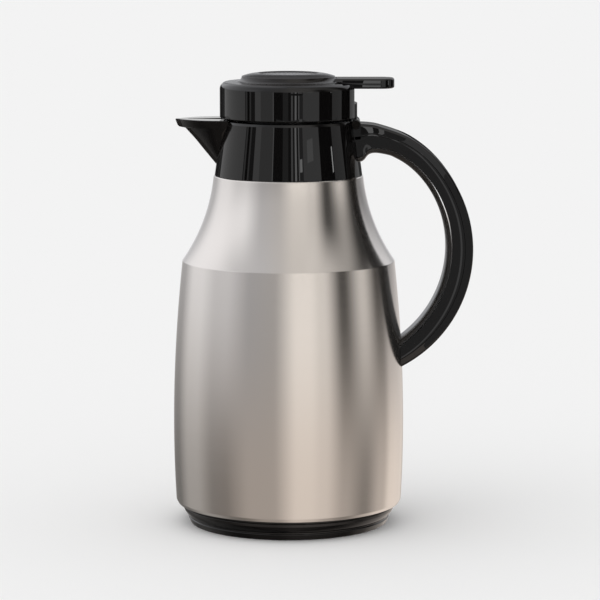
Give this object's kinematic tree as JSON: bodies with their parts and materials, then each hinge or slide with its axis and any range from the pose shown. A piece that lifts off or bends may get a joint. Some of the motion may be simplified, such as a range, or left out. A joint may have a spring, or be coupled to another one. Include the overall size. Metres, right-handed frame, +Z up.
{
  "type": "thermal carafe",
  "caption": "Brushed steel thermal carafe with a glass vacuum liner, a spout, an arched handle, a hinged lid and a thumb lever that opens its pouring valve.",
  "frame": {"origin": "centre of the foot, on the surface that it stands on", "axes": "+Z up; the spout points along -X, the handle and the thumb lever along +X"},
  "size_m": [0.1821, 0.1404, 0.275],
  "materials": {
    "steel_jacket": "brushed round the body",
    "black_plastic": "gloss",
    "inner_plastic": "satin",
    "liner_glass": "silvered",
    "soft_rubber": "matte",
    "soft_pads": "foam",
    "steel_hardware": "plain"
  },
  "bodies": {
    "carafe": {"outer_shell": "steel_jacket", "base_cap": "black_plastic", "base_pad": "soft_rubber", "base_ring_nut": "inner_plastic", "liner_outer_glass": "liner_glass", "liner_inner_glass": "liner_glass", "liner_spacers": "soft_pads", "liner_cushion": "soft_rubber", "neck_gasket": "soft_rubber", "collar": "black_plastic", "collar_ring_nut": "inner_plastic", "pour_funnel": "inner_plastic", "handle_shell": "black_plastic", "handle_inner_cover": "black_plastic", "handle_upper_screws": "steel_hardware", "handle_lower_screw": "steel_hardware", "handle_bracket": "steel_hardware", "hinge_pin": "steel_hardware"},
    "lid": {"lid_shell": "black_plastic", "lid_top_plate": "black_plastic", "lid_screws": "steel_hardware", "stopper_housing": "inner_plastic", "valve_chamber": "inner_plastic", "stopper_gasket": "soft_rubber", "stopper_insulation": "soft_pads", "lever_pin": "steel_hardware", "valve_spring": "steel_hardware"},
    "lever": {"thumb_lever": "black_plastic"},
    "valve": {"valve_stem": "steel_hardware", "stem_head": "inner_plastic", "valve_disc": "inner_plastic", "valve_gasket": "soft_rubber", "valve_nut": "inner_plastic"}
  },
  "joints": [
    {"name": "lid_flip", "type": "hinge", "parent": "carafe", "child": "lid", "pos_m": [0.0405, 0, 0.2449], "axis": [0, 1, 0], "range_deg": [0, 42]},
    {"name": "lever_press", "type": "hinge", "parent": "lid", "child": "lever", "pos_m": [0.024, 0, 0.2624], "axis": [0, 1, 0], "range_deg": [0, 7], "stiffness_Nm_per_rad": 0.2, "springref_deg": -5.73},
    {"name": "valve_lift", "type": "slide", "parent": "lid", "child": "valve", "axis": [0, 0, 1], "range_m": [0, 0.003], "deforming": ["valve_spring"]}
  ],
  "couplings": [
    {"joint": "valve_lift", "follows": "lever_press", "m_per_rad": 0.024}
  ]
}
